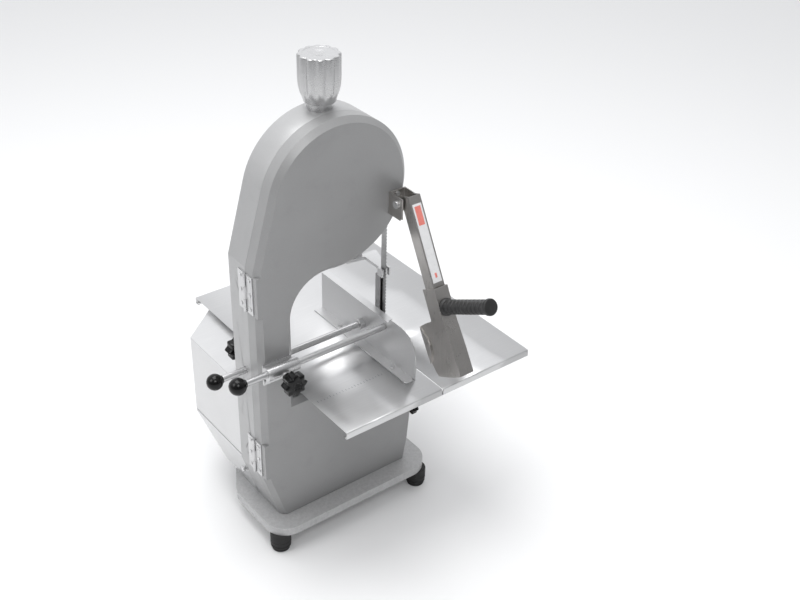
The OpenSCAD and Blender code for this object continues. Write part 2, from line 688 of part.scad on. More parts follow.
module hex_nut(x0, x1) difference() {
    translate([x0, rear_rod_y, rear_rod_z]) rotate([0, 90, 0]) cylinder(r = 10.5, h = x1 - x0, $fn = 6);
    bar_x(x0 - cut, x1 + cut, rear_rod_y, rear_rod_z, rod_r);
}
module rod_nuts() color([0.76, 0.76, 0.77]) {
    hex_nut(fence_x - 10, fence_x);
    difference() {
        bar_x(fence_x - 12, fence_x - 10, rear_rod_y, rear_rod_z, 11);
        bar_x(fence_x - 13, fence_x - 9, rear_rod_y, rear_rod_z, rod_r);
    }
    hex_nut(fence_x + sheet, fence_x + sheet + 9);
}

module ball(x, y, z) translate([x, y, z]) difference() {
    sphere(r = ball_r);
    rotate([0, 90, 0]) cylinder(r = rod_r, h = 20);
}
module rear_ball() color([0.03, 0.03, 0.03]) ball(rear_ball_x, rear_rod_y, rear_rod_z);
module front_ball() color([0.03, 0.03, 0.03]) ball(front_ball_x, front_rod_y, front_rod_z);
module front_rod() color([0.80, 0.80, 0.81]) bar_x(front_ball_x, fence_x - gap, front_rod_y, front_rod_z, rod_r);

// The pusher is drawn hanging straight down from its pivot and then tilted.
// u runs down the arm from the pivot and w towards the operator.
module pusher_frame() translate([0, pivot_y, pivot_z]) rotate([-pusher_tilt, 0, 0]) mirror([0, 1, 0]) mirror([0, 0, 1]) children();

module arm_side() {
    polygon([[arm_back, 0], [arm_front, -8], [arm_front, 186], [arm_back, 186]]);
    polygon([[arm_back, -10], [14, -10], [arm_front, -8], [arm_front, 20], [-8, 8], [-8, -8]]);
    circle(r = 9);
}
module pusher_arm() color([0.52, 0.52, 0.53]) pusher_frame() difference() {
    union() {
        for (x = [arm_x, arm_x + arm_w - pusher_sheet]) side_slab(x, x + pusher_sheet) arm_side();
        block(arm_x, arm_x + arm_w, arm_front - pusher_sheet, arm_front, -8, 186);
    }
    bar_x(arm_x - cut, arm_x + arm_w + cut, 0, 0, 4 + run);
}

// Head of the pusher: a wider channel welded over the arm's end, open towards the blade.
// Its left plate has a lip bent outwards along the rear edge.
head_top = 148;
lip_reach = 3;
module head_side() intersection() {
    polygon([
        [0, head_top], [34, head_top], [34, 201], [39, 255], [41.5, 310], [-13, 316], [-22, 305],
        [-28, 294], [-33, 278], [-35, 245], [-36, 220], [-34.5, 212.7], [-24, 209.5], [-12, 206.5],
        [-4, 205.5], [-1, 204], [0, 201]
    ]);
    circle(r = pusher_reach, $fn = 180);
}
module head_web() intersection() {
    polygon([[32, head_top], [34, head_top], [34, 201], [39, 255], [41.5, 310], [39.5, 310], [37, 255], [32, 201]]);
    circle(r = pusher_reach, $fn = 180);
}
module head_lip() polygon([
    [-34.5, 212.7], [-34, 215], [-29, 224], [-23, 235], [-20.3, 246], [-20.8, 257], [-24, 268],
    [-29, 277], [-33.4, 280], [-33, 278], [-35, 245], [-36, 220]
]);
module pusher_head() color([0.56, 0.55, 0.54]) pusher_frame() {
    for (x = [arm_x - pusher_sheet, arm_x + arm_w]) side_slab(x, x + pusher_sheet) head_side();
    side_slab(arm_x, arm_x + arm_w) head_web();
    side_slab(arm_x - pusher_sheet - lip_reach, arm_x - pusher_sheet) head_lip();
}

grip_u = 183;
grip_base = 34;
grip_end = 155;
module pusher_grip() color([0.04, 0.04, 0.04]) pusher_frame() {
    bar_y(grip_base, grip_base + 4, arm_x + arm_w / 2, grip_u, 15);
    bar_y(grip_base + 4, grip_end - 7, arm_x + arm_w / 2, grip_u, 12.5);
    bar_y(grip_end - 7, grip_end, arm_x + arm_w / 2, grip_u, 14);
}

module pivot_bolt() color([0.78, 0.78, 0.79]) {
    bar_x(ear_x - 5, ear_x, pivot_y, pivot_z, 6.5);
    bar_x(ear_x, arm_x + arm_w + 5, pivot_y, pivot_z, 4);
    bar_x(arm_x + arm_w + 5, arm_x + arm_w + 11, pivot_y, pivot_z, 6.5);
}

module arm_label() color([0.93, 0.93, 0.92]) pusher_frame()
    block(arm_x + 3, arm_x + arm_w - 3, arm_front, arm_front + 0.3, 6, 140);

base_plate();
rubber_feet();
foot_bolts();
main_casing();
motor_cover();
lower_skirt();
worktable();
table_rails();
frame_screws();
guide_arm();
guide_block();
blade_guard();
saw_blade();
lower_guide();
scrapers();
scrap_tray();
frame_hinge_leaves();
slide_rails();
tension_bush();
bearing_housing();
shaft_bearings();
motor();
motor_mount();
drive_belt();
rear_rod_bush();
switch_box();
cable_gland();
door_cover();
door_hinge_leaves();
door_screws();
rod_clamp();
pusher_bracket();
tension_knob();
tension_screw();
tension_carriage();
upper_axle();
upper_wheel();
upper_bearings();
lower_wheel();
drive_shaft();
shaft_pulley();
motor_shaft();
motor_pulley();
fence_plate();
fence_screws();
rear_rod();
rod_nuts();
rear_ball();
front_rod();
front_ball();
front_clamp_knob();
rear_clamp_knob();
door_lock_knob();
pusher_arm();
pusher_head();
pusher_grip();
pivot_bolt();
arm_label();
start_button();
stop_button();
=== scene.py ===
"""Looks of the table-top bone saw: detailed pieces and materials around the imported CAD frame."""

import json
import math

import bmesh
import bpy
from mathutils import Matrix, Vector


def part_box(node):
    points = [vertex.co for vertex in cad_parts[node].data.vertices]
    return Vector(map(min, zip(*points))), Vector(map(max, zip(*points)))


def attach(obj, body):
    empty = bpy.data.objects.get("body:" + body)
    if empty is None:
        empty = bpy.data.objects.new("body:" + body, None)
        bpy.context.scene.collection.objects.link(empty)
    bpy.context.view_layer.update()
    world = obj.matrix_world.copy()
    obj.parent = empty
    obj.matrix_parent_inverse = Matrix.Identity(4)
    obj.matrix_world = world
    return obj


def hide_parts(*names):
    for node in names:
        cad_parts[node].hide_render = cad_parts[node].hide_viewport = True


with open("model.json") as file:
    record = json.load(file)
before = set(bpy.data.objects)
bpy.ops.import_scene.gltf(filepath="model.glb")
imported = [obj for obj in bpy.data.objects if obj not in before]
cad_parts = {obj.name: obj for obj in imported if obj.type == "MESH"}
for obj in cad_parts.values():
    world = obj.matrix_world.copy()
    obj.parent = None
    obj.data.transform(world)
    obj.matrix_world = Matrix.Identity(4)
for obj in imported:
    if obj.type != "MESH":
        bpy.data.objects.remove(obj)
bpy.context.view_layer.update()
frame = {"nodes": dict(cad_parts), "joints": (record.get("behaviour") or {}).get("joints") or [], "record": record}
NODES = frame["nodes"]
MM = 0.001
FULL_TURN = 2 * math.pi


# ---------------------------------------------------------------- measuring helpers
def box_mm(node):
    """Lowest and highest corner of a CAD node, in millimetres."""
    low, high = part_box(node)
    return low / MM, high / MM


def middle_mm(node):
    low, high = box_mm(node)
    return (low + high) / 2


def mix(a, b, t):
    return a + (b - a) * t


def fade(value, start, end):
    """0 before start, 1 after end, smooth between."""
    t = min(1.0, max(0.0, (value - start) / (end - start)))
    return t * t * (3 - 2 * t)


# ---------------------------------------------------------------- materials
class Nodes:
    """Adds shader nodes to one material and wires them."""

    def __init__(self, name):
        self.material = bpy.data.materials.new(name)
        self.material.use_nodes = True
        self.tree = self.material.node_tree
        self.shader = self.tree.nodes["Principled BSDF"]
        self.place = self.add("ShaderNodeTexCoord").outputs["Object"]

    def add(self, kind, **values):
        node = self.tree.nodes.new(kind)
        for key, value in values.items():
            setattr(node, key, value)
        return node

    def link(self, source, target):
        self.tree.links.new(source, target)

    def noise(self, scale, stretch=(1, 1, 1), detail=4.0):
        mapping = self.add("ShaderNodeMapping")
        mapping.inputs["Scale"].default_value = stretch
        self.link(self.place, mapping.inputs["Vector"])
        noise = self.add("ShaderNodeTexNoise")
        noise.inputs["Scale"].default_value = scale
        noise.inputs["Detail"].default_value = detail
        self.link(mapping.outputs["Vector"], noise.inputs["Vector"])
        return noise.outputs["Fac"]

    def spread(self, value, low, high, start=0.3, end=0.7):
        """Maps start..end of a value to low..high."""
        ranged = self.add("ShaderNodeMapRange")
        ranged.inputs["From Min"].default_value = start
        ranged.inputs["From Max"].default_value = end
        ranged.inputs["To Min"].default_value = low
        ranged.inputs["To Max"].default_value = high
        self.link(value, ranged.inputs["Value"])
        return ranged.outputs["Result"]

    def blend(self, factor, first, second):
        """A mix of two colours; each is a tuple or another node's output."""
        blender = self.add("ShaderNodeMix", data_type="RGBA")
        self.link(factor, blender.inputs["Factor"])
        for socket, colour in ((blender.inputs[6], first), (blender.inputs[7], second)):
            if isinstance(colour, tuple):
                socket.default_value = (*colour, 1)
            else:
                self.link(colour, socket)
        return blender.outputs[2]

    def bump(self, height, strength, distance):
        bump = self.add("ShaderNodeBump")
        bump.inputs["Strength"].default_value = strength
        bump.inputs["Distance"].default_value = distance
        self.link(height, bump.inputs["Height"])
        return bump.outputs["Normal"]

    def set(self, name, value):
        if isinstance(value, (int, float)):
            self.shader.inputs[name].default_value = value
        else:
            self.link(value, self.shader.inputs[name])


def grey(value):
    """A neutral colour with the slightest blue in it."""
    return (value, value, value * 1.005)


def surface(
    name, dark, light, metallic, rough, mottle=18, grain=900, stretch=(1, 1, 1), bump=0.25,
    depth=0.0002, dirt=0.12, coat=0.0, specular=0.5,
):
    """One finish: large soft mottling, fine grain in the bump and roughness, and faint grime."""
    n = Nodes(name)
    patches = n.noise(mottle, detail=3)
    fine = n.noise(grain, stretch, detail=5)
    grime = n.noise(mottle * 3.1, detail=8)
    glint = tuple(min(1, c * 1.12) for c in light)
    speck = tuple(c * (1 - dirt) for c in dark)
    colour = n.blend(n.spread(patches, 0, 1), dark, light)
    colour = n.blend(n.spread(grime, 0, 0.85, 0.56, 0.78), colour, speck)
    colour = n.blend(n.spread(fine, 0, 0.5, 0.5, 0.75), colour, glint)
    roughness = n.add("ShaderNodeMath", operation="ADD")
    n.link(n.spread(fine, rough[0], rough[1]), roughness.inputs[0])
    n.link(n.spread(grime, -0.02, 0.05), roughness.inputs[1])
    n.set("Base Color", colour)
    n.set("Metallic", metallic)
    n.set("Roughness", roughness.outputs[0])
    n.set("Normal", n.bump(fine, bump, depth))
    n.set("Specular IOR Level", specular)
    if coat:
        n.set("Coat Weight", coat)
        n.set("Coat Roughness", 0.12)
    return n.material


BRUSH_X = (0.02, 1, 1)
BRUSH_Z = (1, 1, 0.02)
FINISHES = {
    "cast_casing": dict(
        dark=grey(0.38), light=grey(0.40), metallic=0.35, rough=(0.34, 0.42), mottle=9, grain=560,
        bump=0.35, dirt=0.03, coat=0.15,
    ),
    # The casing's own cast paint made darker: painted shade on the door's front face.
    "cast_door": dict(
        dark=grey(0.30), light=grey(0.32), metallic=0.30, rough=(0.38, 0.46), mottle=9, grain=560,
        bump=0.35, dirt=0.03, coat=0.08,
    ),
    "cast_base": dict(
        dark=grey(0.44), light=grey(0.52), metallic=0.30, rough=(0.42, 0.56), mottle=160, grain=520,
        bump=0.6, depth=0.0004,
    ),
    "stainless": dict(
        dark=grey(0.60), light=grey(0.62), metallic=0.72, rough=(0.30, 0.33), mottle=5, grain=700,
        stretch=BRUSH_X, bump=0.02, depth=0.00003, dirt=0.01,
    ),
    "pusher_steel": dict(
        dark=(0.40, 0.385, 0.37), light=(0.48, 0.465, 0.45), metallic=0.95, rough=(0.26, 0.34), mottle=12,
        grain=800, stretch=BRUSH_Z, bump=0.08, depth=0.0001, dirt=0.08,
    ),
    "bright_steel": dict(
        dark=grey(0.56), light=grey(0.58), metallic=0.8, rough=(0.27, 0.31), mottle=12, bump=0.02, dirt=0.01,
    ),
    "blade_steel": dict(
        dark=grey(0.30), light=grey(0.38), metallic=1.0, rough=(0.26, 0.38), mottle=40,
        stretch=BRUSH_Z, bump=0.15, depth=0.0001,
    ),
    "machined_aluminium": dict(
        dark=grey(0.50), light=grey(0.52), metallic=0.8, rough=(0.25, 0.28), mottle=10,
        stretch=BRUSH_X, bump=0.02, depth=0.00003, dirt=0.01,
    ),
    "plain_steel": dict(
        dark=grey(0.32), light=grey(0.42), metallic=0.9, rough=(0.34, 0.5), mottle=30, bump=0.3,
    ),
    "brass": dict(
        dark=(0.52, 0.38, 0.14), light=(0.66, 0.50, 0.22), metallic=1.0, rough=(0.25, 0.38), mottle=40,
        stretch=BRUSH_X, bump=0.15,
    ),
    "motor_paint": dict(
        dark=(0.055, 0.07, 0.09), light=(0.08, 0.10, 0.125), metallic=0.1, rough=(0.4, 0.52), mottle=30,
    ),
    "black_rubber": dict(
        dark=grey(0.012), light=grey(0.022), metallic=0.0, rough=(0.62, 0.8), mottle=60, grain=1400,
        bump=0.4, dirt=-0.6,
    ),
    "black_plastic": dict(
        dark=grey(0.003), light=grey(0.005), metallic=0.0, rough=(0.13, 0.18), mottle=40, grain=600,
        bump=0.03, specular=0.28,
    ),
    "grip_plastic": dict(
        dark=grey(0.012), light=grey(0.02), metallic=0.0, rough=(0.36, 0.5), mottle=50, grain=1200, bump=0.35,
    ),
    "white_plastic": dict(
        dark=grey(0.66), light=grey(0.74), metallic=0.0, rough=(0.38, 0.5), mottle=40, grain=1000, bump=0.12,
    ),
    "label_vinyl": dict(
        dark=grey(0.74), light=grey(0.80), metallic=0.0, rough=(0.3, 0.4), mottle=60, bump=0.05,
    ),
    "label_red": dict(
        dark=(0.74, 0.20, 0.17), light=(0.80, 0.25, 0.21), metallic=0.0, rough=(0.3, 0.4), mottle=60,
        bump=0.05,
    ),
    "green_plastic": dict(
        dark=(0.01, 0.20, 0.04), light=(0.015, 0.26, 0.05), metallic=0.0, rough=(0.2, 0.3), coat=0.3,
    ),
    "red_plastic": dict(
        dark=(0.42, 0.012, 0.01), light=(0.52, 0.02, 0.014), metallic=0.0, rough=(0.2, 0.3), coat=0.3,
    ),
}
MATERIALS = {name: surface(name, **finish) for name, finish in FINISHES.items()}


# ---------------------------------------------------------------- mesh helpers
def finish_edges(obj, bevel, segments=2, weld=0.0):
    """Rounds the sharp edges by so many millimetres."""
    if weld:
        obj.modifiers.new("weld", "WELD").merge_threshold = weld
    if bevel:
        rounding = obj.modifiers.new("edges", "BEVEL")
        rounding.width = bevel * MM
        rounding.segments = segments
        rounding.limit_method = "ANGLE"
        rounding.angle_limit = math.radians(32)
        rounding.harden_normals = True


def add_piece(name, verts, faces, finish, body, stands_for=(), angle=35, bevel=0.0):
    """A new mesh piece from millimetre points, riding on a body and standing for CAD nodes."""
    mesh = bpy.data.meshes.new(name)
    mesh.from_pydata([Vector(v) * MM for v in verts], [], faces)
    shape = bmesh.new()
    shape.from_mesh(mesh)
    bmesh.ops.remove_doubles(shape, verts=shape.verts, dist=1e-7)
    bmesh.ops.recalc_face_normals(shape, faces=shape.faces)
    shape.to_mesh(mesh)
    shape.free()
    mesh.materials.append(MATERIALS[finish])
    mesh.shade_smooth()
    mesh.set_sharp_from_angle(angle=math.radians(angle))
    obj = bpy.data.objects.new(name, mesh)
    bpy.context.scene.collection.objects.link(obj)
    finish_edges(obj, bevel)
    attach(obj, body)
    if stands_for:
        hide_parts(*stands_for)
    return obj


def loft(rings, joined=False):
    """Faces between closed rings of equal length: capped at both ends, or joined end to end."""
    count = len(rings[0])
    verts = [point for ring in rings for point in ring]
    faces = []
    last = len(rings) if joined else len(rings) - 1
    for i in range(last):
        a = i * count
        b = ((i + 1) % len(rings)) * count
        for j in range(count):
            k = (j + 1) % count
            faces.append((a + j, a + k, b + k, b + j))
    if not joined:
        faces.append(tuple(range(count)))
        faces.append(tuple(range((len(rings) - 1) * count, len(rings) * count)))
    return verts, faces


def join(*parts):
    """Several (verts, faces) pairs as one."""
    verts, faces = [], []
    for part_verts, part_faces in parts:
        start = len(verts)
        verts.extend(part_verts)
        faces.extend(tuple(i + start for i in face) for face in part_faces)
    return verts, faces


def turned(base, axis, profile, segments=48, shape=None):
    """A turned form: profile lists (distance along the axis, radius); shape may change the radius."""
    base, axis = Vector(base), Vector(axis).normalized()
    side = Vector((0, 0, 1)) if abs(axis.z) < 0.9 else Vector((1, 0, 0))
    u = axis.cross(side).normalized()
    v = axis.cross(u)
    rings = []
    for along, radius in profile:
        ring = []
        for i in range(segments):
            angle = FULL_TURN * i / segments
            r = shape(angle, along, radius) if shape else radius
            ring.append(base + axis * along + (u * math.cos(angle) + v * math.sin(angle)) * r)
        rings.append(ring)
    return loft(rings)


def slab(outline, low, high):
    """An outline in X and Y made solid between two heights."""
    return loft([[(x, y, z) for x, y in outline] for z in (low, high)])


def block(low, high):
    """A box between two opposite corners."""
    outline = [(low[0], low[1]), (high[0], low[1]), (high[0], high[1]), (low[0], high[1])]
    return slab(outline, low[2], high[2])


def carve(obj, cutters):
    """Cuts closed shapes out of a piece and keeps the result in its mesh."""
    mesh = bpy.data.meshes.new(obj.name + "_cutter")
    verts, faces = join(*cutters)
    mesh.from_pydata([Vector(v) * MM for v in verts], [], faces)
    shape = bmesh.new()
    shape.from_mesh(mesh)
    bmesh.ops.recalc_face_normals(shape, faces=shape.faces)
    shape.to_mesh(mesh)
    shape.free()
    cutter = bpy.data.objects.new(mesh.name, mesh)
    bpy.context.scene.collection.objects.link(cutter)
    cutting = obj.modifiers.new("cut", "BOOLEAN")
    cutting.operation = "DIFFERENCE"
    cutting.solver = "EXACT"
    cutting.object = cutter
    others = [m for m in obj.modifiers if m != cutting]
    shown = [m.show_viewport for m in others]
    for m in others:
        m.show_viewport = False
    graph = bpy.context.evaluated_depsgraph_get()
    graph.update()
    result = bpy.data.meshes.new_from_object(obj.evaluated_get(graph))
    obj.modifiers.remove(cutting)
    for m, was in zip(others, shown):
        m.show_viewport = was
    obj.data = result
    bpy.data.objects.remove(cutter)


# ---------------------------------------------------------------- casing outline and door
CASING_LOW, CASING_HIGH = box_mm("main_casing")
DOOR_LOW, DOOR_HIGH = box_mm("door_cover")
WHEEL = middle_mm("upper_wheel")
LEFT, RIGHT = CASING_LOW.x, CASING_HIGH.x
ARCH_R = CASING_HIGH.z - WHEEL.z
COLUMN_W = 66
COLUMN_IN = LEFT + COLUMN_W
SHOULDER_Z = 583
UNDERCUT_Z = 155
UNDERCUT_W = 30
THROAT_R = 74
THROAT_X = COLUMN_IN + THROAT_R
THROAT_Z = WHEEL.z - math.sqrt((ARCH_R + THROAT_R) ** 2 - (THROAT_X - WHEEL.x) ** 2)
BOX_TOP = box_mm("table_rails")[0].z
BASE_TOP = CASING_LOW.z
HINGE_H = 72
HINGES_LOW, HINGES_HIGH = box_mm("frame_hinge_leaves")
HINGE_SPANS = [(HINGES_HIGH.z - HINGE_H, HINGES_HIGH.z), (HINGES_LOW.z, HINGES_LOW.z + HINGE_H)]
BLADE_LOW, BLADE_HIGH = box_mm("saw_blade")
BLADE_THICK = 0.6
BLADE_X = BLADE_HIGH.x - BLADE_THICK / 2


def casing_outline(inset, low, top):
    """The C-shaped outline in X and Z, inset by so many millimetres, low edge kept in place."""
    r = ARCH_R - inset
    left = LEFT + inset
    slope = (left - WHEEL.x, SHOULDER_Z - WHEEL.z)
    start = math.atan2(slope[1], slope[0]) - math.acos(r / math.hypot(*slope)) + FULL_TURN
    end = math.atan2(THROAT_Z - WHEEL.z, THROAT_X - WHEEL.x)
    points = [(left + UNDERCUT_W, low), (left, UNDERCUT_Z), (left, SHOULDER_Z)]
    for i in range(97):
        a = mix(start, end, i / 96)
        points.append((WHEEL.x + r * math.cos(a), WHEEL.z + r * math.sin(a)))
    for i in range(1, 33):
        a = mix(end + math.pi, math.pi, i / 32)
        reach = THROAT_R + inset
        points.append((THROAT_X + reach * math.cos(a), THROAT_Z + reach * math.sin(a)))
    points.append((COLUMN_IN - inset, top - inset))
    points.append((RIGHT - inset, top - inset))
    points.append((RIGHT - inset, UNDERCUT_Z))
    points.append((RIGHT - 5 - inset, BASE_TOP + 42))
    points.append((RIGHT - 13 - inset, low))
    return points


def build_door():
    """Cast door: an open-backed shell with a 45 degree chamfer round the front."""
    low = DOOR_LOW.z
    top = BOX_TOP - 8
    front, back = DOOR_LOW.y, DOOR_HIGH.y
    chamfer = 9.4
    wall = 3
    inner_chamfer = 8.2
    steps = [
        (inner_chamfer, front + wall), (wall, front + chamfer - 1.2), (wall, back), (0, back),
        (0, front + chamfer), (chamfer, front),
    ]
    rings = []
    for inset, y in steps:
        floor = low + (wall if inset in (inner_chamfer, wall) else 0)
        rings.append([(x, y, z) for x, z in casing_outline(inset, floor, top)])
    # The door takes cast_door, the casing paint darkened as painted shade on its front.
    shell = add_piece("door_casting", *loft(rings), "cast_door", "door", ["door_cover"], bevel=0.9)
    slots = [(562, 622), (top - 6, top + 8)]
    gap = 4
    carve(shell, [
        block((BLADE_X - gap, BLADE_LOW.y - gap, slot_low), (BLADE_X + gap, back + 1, slot_high))
        for slot_low, slot_high in slots
    ])
    shell.data.set_sharp_from_angle(angle=math.radians(30))
    pads = []
    for low_z, high_z in HINGE_SPANS:
        outline = [(LEFT, front), (LEFT + chamfer + 0.4, front), (LEFT, front + chamfer + 0.4)]
        pads.append(slab(outline, low_z - 2, high_z + 2))
    # The hinge pads take the same darkened door paint, painted shade.
    add_piece("door_hinge_pads", *join(*pads), "cast_door", "door", bevel=0.5)


build_door()


# ---------------------------------------------------------------- worktable
def build_table():
    """Folded stainless sheet with hemmed lips front and rear and the blade's slot."""
    low, high = box_mm("worktable")
    fold = 2.5
    hem = 8.5
    sheet = 1.5
    half_slot = 1.5
    slot_end = BLADE_HIGH.y + 2
    half = [(low.y + hem, low.z + 0.8), (low.y + fold + 1, low.z)]
    for centre_z, start, end in ((low.z + fold, 270, 180), (high.z - fold, 180, 90)):
        for i in range(7):
            a = math.radians(mix(start, end, i / 6))
            half.append((low.y + fold + fold * math.cos(a), centre_z + fold * math.sin(a)))
    rear = [(low.y + high.y - y, z) for y, z in reversed(half)]
    path = half + [(mix(low.y, slot_end, t), high.z) for t in (0.25, 0.5, 0.75)]
    path += [(slot_end, high.z), (mix(slot_end, high.y, 0.5), high.z)] + rear
    columns = [low.x, BLADE_X - half_slot, BLADE_X + half_slot, high.x]
    verts = [(x, y, z) for x in columns for y, z in path]
    faces = []
    for c in range(3):
        for i in range(len(path) - 1):
            if c == 1 and path[i][0] < slot_end - 0.01:
                continue
            a = c * len(path) + i
            b = a + len(path)
            faces.append((a, a + 1, b + 1, b))
    table = add_piece("table_sheet", verts, faces, "stainless", "frame", ["worktable"], angle=25)
    inward = table.modifiers.new("thickness", "SOLIDIFY")
    inward.thickness = sheet * MM
    inward.offset = -1
    if table.data.polygons[len(path) // 2].normal.z < 0:
        table.data.flip_normals()


def build_scale():
    """Row of plain tick marks on the table, each fourth one longer."""
    low, high = box_mm("worktable")
    pitch = 6.35
    front = -104
    ticks = []
    for i in range(22):
        x = low.x + 8 + i * pitch
        length = 5.5 if i % 4 == 0 else 3.5
        ticks.append(block((x, front, high.z - 0.1), (x + 0.6, front + length, high.z + 0.03)))
    add_piece("table_scale", *join(*ticks), "motor_paint", "frame")


build_table()
build_scale()


# ---------------------------------------------------------------- knobs, balls, rods and feet
def lobes(count, depth, power=1.0):
    """Radius rule for a lobed grip: full on the lobes, depth less between them."""
    def shape(angle, along, radius):
        valley = (0.5 - 0.5 * math.cos(count * angle)) ** power
        return radius * (1 - depth * valley)
    return shape


def build_tension_knob():
    """Turned knob whose twelve flutes fade out towards its narrow foot."""
    low, high = box_mm("tension_knob")
    centre = (low + high) / 2
    r = (high.x - low.x) / 2
    height = high.z - low.z
    profile = [
        (0, r - 9.5), (0.5, r - 8.6), (4, r - 7.6), (8, r - 6.4), (12, r - 4.6), (16, r - 3.2), (21, r - 1.9),
        (27, r - 0.9), (34, r - 0.3), (42, r), (height - 2.6, r), (height - 1.2, r - 0.5),
        (height - 0.3, r - 1.6), (height, r - 3.2), (height, r - 8.5), (height - 0.5, r - 9),
        (height - 0.5, 12), (height - 0.9, 11), (height - 0.9, 2),
    ]

    def flutes(angle, along, radius):
        depth = 3.4 * fade(along, 6, 24) * (1 if radius > r - 8 else 0)
        return radius - depth * (0.5 - 0.5 * math.cos(12 * angle)) ** 1.6

    verts, faces = turned((centre.x, centre.y, low.z), (0, 0, 1), profile, 192, flutes)
    add_piece(
        "tension_knob_fluted", verts, faces, "machined_aluminium", "tension_knob", ["tension_knob"], 28
    )


def build_star(name, node, body, axis, thick, r, count, neck_r, neck_len):
    """Lobed clamp knob on a stud, from its outer face inwards; axis points out of the face."""
    low, high = box_mm(node)
    origin = (low + high) / 2
    along = next(i for i in range(3) if axis[i])
    origin[along] = high[along] if axis[along] > 0 else low[along]
    length = high[along] - low[along]
    inwards = [-a for a in axis]
    stud_r = 4
    head = turned(origin, inwards, [
        (0.9, 2), (0.9, r * 0.30), (0.2, r * 0.36), (0, r * 0.44), (0.5, r * 0.80), (1.6, r * 0.93),
        (3.2, r), (thick - 3, r), (thick - 1.2, r * 0.95), (thick, r * 0.84), (thick, neck_r + 2),
        (thick + 1.5, neck_r + 0.3),
    ], 144, lobes(count, 0.20, 0.75))
    neck = turned(origin, inwards, [
        (thick - 0.5, neck_r), (neck_len - 1, neck_r), (neck_len, neck_r - 0.9),
    ])
    stud = turned(origin, inwards, [
        (neck_len - 0.5, stud_r), (length - 0.6, stud_r), (length, stud_r - 0.6),
    ], 32)
    add_piece(name, *join(head, neck), "black_plastic", body, [node], 30)
    add_piece(name + "_stud", *stud, "bright_steel", body)


def build_ball(name, node, body):
    """Ball knob with the flat collar its rod screws into."""
    low, high = box_mm(node)
    centre = (low + high) / 2
    r = (high.x - low.x) / 2
    profile = []
    for i in range(33):
        a = math.pi * (i + 0.25) / 34.5
        profile.append((-r * math.cos(a), r * math.sin(a)))
    profile = [p for p in profile if p[0] < r * 0.88]
    profile += [(r * 0.90, 7.2), (r * 0.97, 7.0), (r, 6.6)]
    add_piece(name, *turned(centre, (1, 0, 0), profile, 64), "black_plastic", body, [node], 30)


def build_rod(name, node, body, thread=None):
    """Bright rod with chamfered ends; thread is the stretch of x that carries a screw thread."""
    low, high = box_mm(node)
    centre = (low + high) / 2
    r = (high.y - low.y) / 2
    length = high.x - low.x
    pitch = 1.75
    depth = 0.9
    stations = [(0, r - 1), (1, r), (2, r)]
    if thread:
        start, end = thread[0] - low.x, thread[1] - low.x
        steps = int((end - start) / pitch * 4)
        stations += [(start - 2, r)] + [(mix(start, end, i / steps), r) for i in range(steps + 1)]
    else:
        stations += [(length * t, r) for t in (0.25, 0.5, 0.75)]
    stations += [(length - 1.2, r), (length, r - 1)]

    def helix(angle, along, radius):
        if not thread or along < start or along > end:
            return radius
        phase = (along / pitch - angle / FULL_TURN) % 1
        return radius - depth * (1 - abs(2 * phase - 1)) * fade(along, start, start + 4)

    shape = turned((low.x, centre.y, centre.z), (1, 0, 0), stations, 32, helix)
    add_piece(name, *shape, "bright_steel", body, [node], 50)


def build_feet():
    """Grooved rubber feet under the base."""
    low, high = box_mm("rubber_feet")
    height = high.z - low.z
    r = 19
    places = [
        (low.x + r, low.y + r + 6), (high.x - r, low.y + r), (-112, high.y - r), (70, high.y - r),
    ]
    profile = [
        (0, r - 4), (0.6, r - 2.6), (3.4, r - 2), (4.4, r - 3.2), (5.4, r - 3.2), (6.4, r - 1),
        (7.4, r - 0.5), (10, r - 0.5), (11, r - 1.4), (11.6, r - 2.2), (12.6, r - 2.2), (13.4, r - 0.6),
        (14.6, r), (20, r), (21, r - 0.9), (22, r - 0.9), (23, r), (height - 2, r),
        (height - 0.5, r - 0.6), (height, r - 1.6),
    ]
    feet = [turned((x, y, low.z), (0, 0, 1), profile) for x, y in places]
    add_piece("feet_rubber", *join(*feet), "black_rubber", "frame", ["rubber_feet"], 30)


build_tension_knob()
build_star("front_star", "front_clamp_knob", "front_clamp", (0, -1, 0), 20, 21.5, 8, 9, 32.7)
build_star("rear_star", "rear_clamp_knob", "rear_clamp", (0, 1, 0), 20, 22, 8, 8, 37.7)
build_star("lock_star", "door_lock_knob", "door_lock", (1, 0, 0), 14, 14, 6, 6, 21.7)
build_ball("rear_ball_knob", "rear_ball", "fence")
build_ball("front_ball_knob", "front_ball", "front_rod")
build_rod("rear_rod_threaded", "rear_rod", "fence", (-120, box_mm("rear_rod")[1].x - 3))
build_rod("front_rod_smooth", "front_rod", "front_rod")
build_feet()


# ---------------------------------------------------------------- blade
def band_place(s, r, lower, upper):
    """Where the band is after s millimetres round its loop, and which way is out of the loop."""
    run = upper - lower
    if s < run:
        return Vector((r, 0, lower + s)), Vector((1, 0, 0))
    if run + math.pi * r <= s < 2 * run + math.pi * r:
        return Vector((-r, 0, upper - (s - run - math.pi * r))), Vector((-1, 0, 0))
    over_top = s < run + math.pi * r
    angle = (s - run) / r if over_top else math.pi + (s - 2 * run - math.pi * r) / r
    out = Vector((math.cos(angle), 0, math.sin(angle)))
    return out * r + Vector((0, 0, upper if over_top else lower)), out


